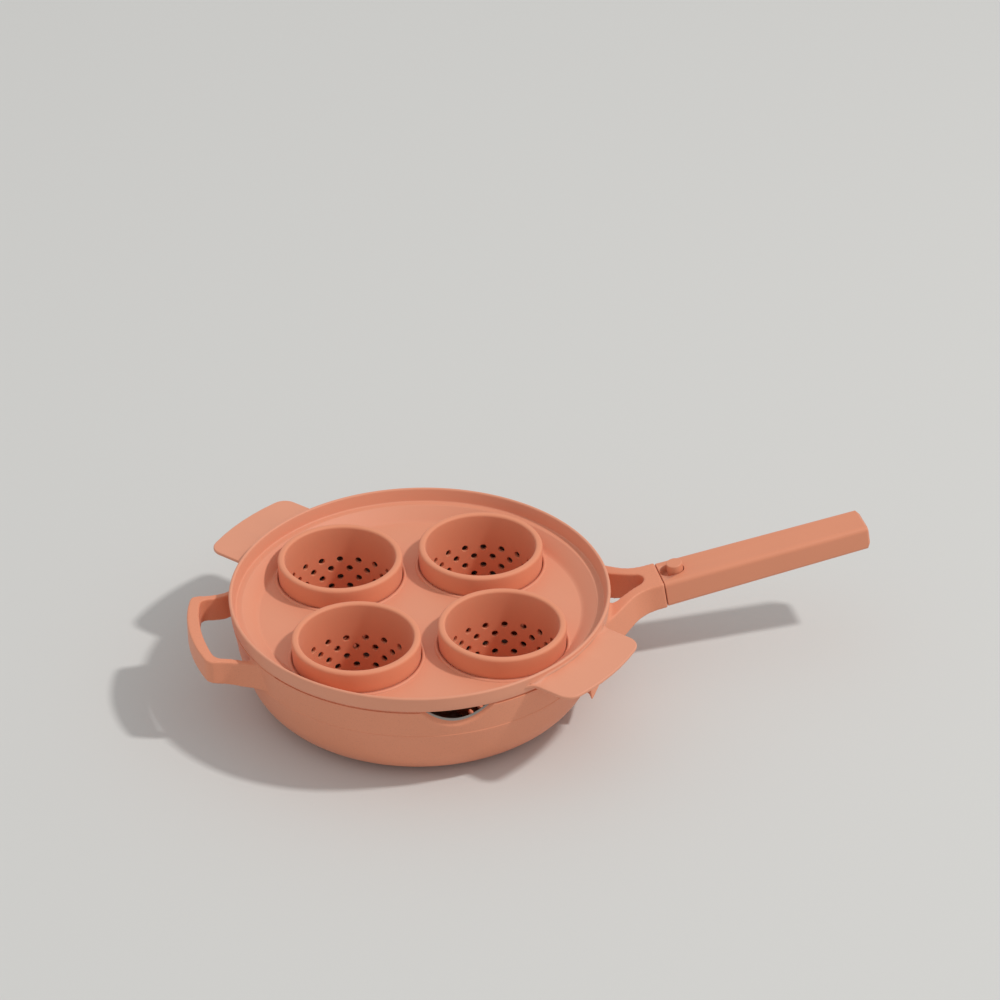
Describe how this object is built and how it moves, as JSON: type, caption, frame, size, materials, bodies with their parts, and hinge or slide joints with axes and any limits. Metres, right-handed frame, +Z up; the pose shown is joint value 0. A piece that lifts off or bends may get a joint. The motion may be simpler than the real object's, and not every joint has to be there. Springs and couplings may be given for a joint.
{
  "type": "egg poacher pan",
  "caption": "Deep round pan with long handle, helper loop and pouring notches, holding a lift-out eared tray with perforated hanging egg cups.",
  "frame": {"origin": "centre of the pan's base, on the table", "axes": "+Z up, +X along the long handle, +Y to the left seen from the pan towards the grip"},
  "size_m": [0.4956, 0.29, 0.0916],
  "materials": {
    "pan_coat": "matte, fine speckled coat on cast aluminium, pale cream cooking surface inside",
    "grip_coat": "smooth matte moulding",
    "tray_coat": "smooth matte moulding",
    "cup_silicone": "soft matte moulding",
    "steel": "brushed"
  },
  "bodies": {
    "pan": {"pan_casting": "pan_coat", "base_disc": "steel", "grip": "grip_coat", "grip_screw": "steel"},
    "tray": {"poacher_tray": "tray_coat"},
    "egg_cup_1": {"cup_1": "cup_silicone"},
    "egg_cup_2": {"cup_2": "cup_silicone"},
    "egg_cup_3": {"cup_3": "cup_silicone"},
    "egg_cup_4": {"cup_4": "cup_silicone"}
  },
  "joints": [
    {"name": "tray_lift", "type": "slide", "parent": "pan", "child": "tray", "axis": [0, 0, 1], "range_m": [0, 0.12]},
    {"name": "cup_1_lift", "type": "slide", "parent": "tray", "child": "egg_cup_1", "axis": [0, 0, 1], "range_m": [0, 0.08]},
    {"name": "cup_2_lift", "type": "slide", "parent": "tray", "child": "egg_cup_2", "axis": [0, 0, 1], "range_m": [0, 0.08]},
    {"name": "cup_3_lift", "type": "slide", "parent": "tray", "child": "egg_cup_3", "axis": [0, 0, 1], "range_m": [0, 0.08]},
    {"name": "cup_4_lift", "type": "slide", "parent": "tray", "child": "egg_cup_4", "axis": [0, 0, 1], "range_m": [0, 0.08]}
  ]
}
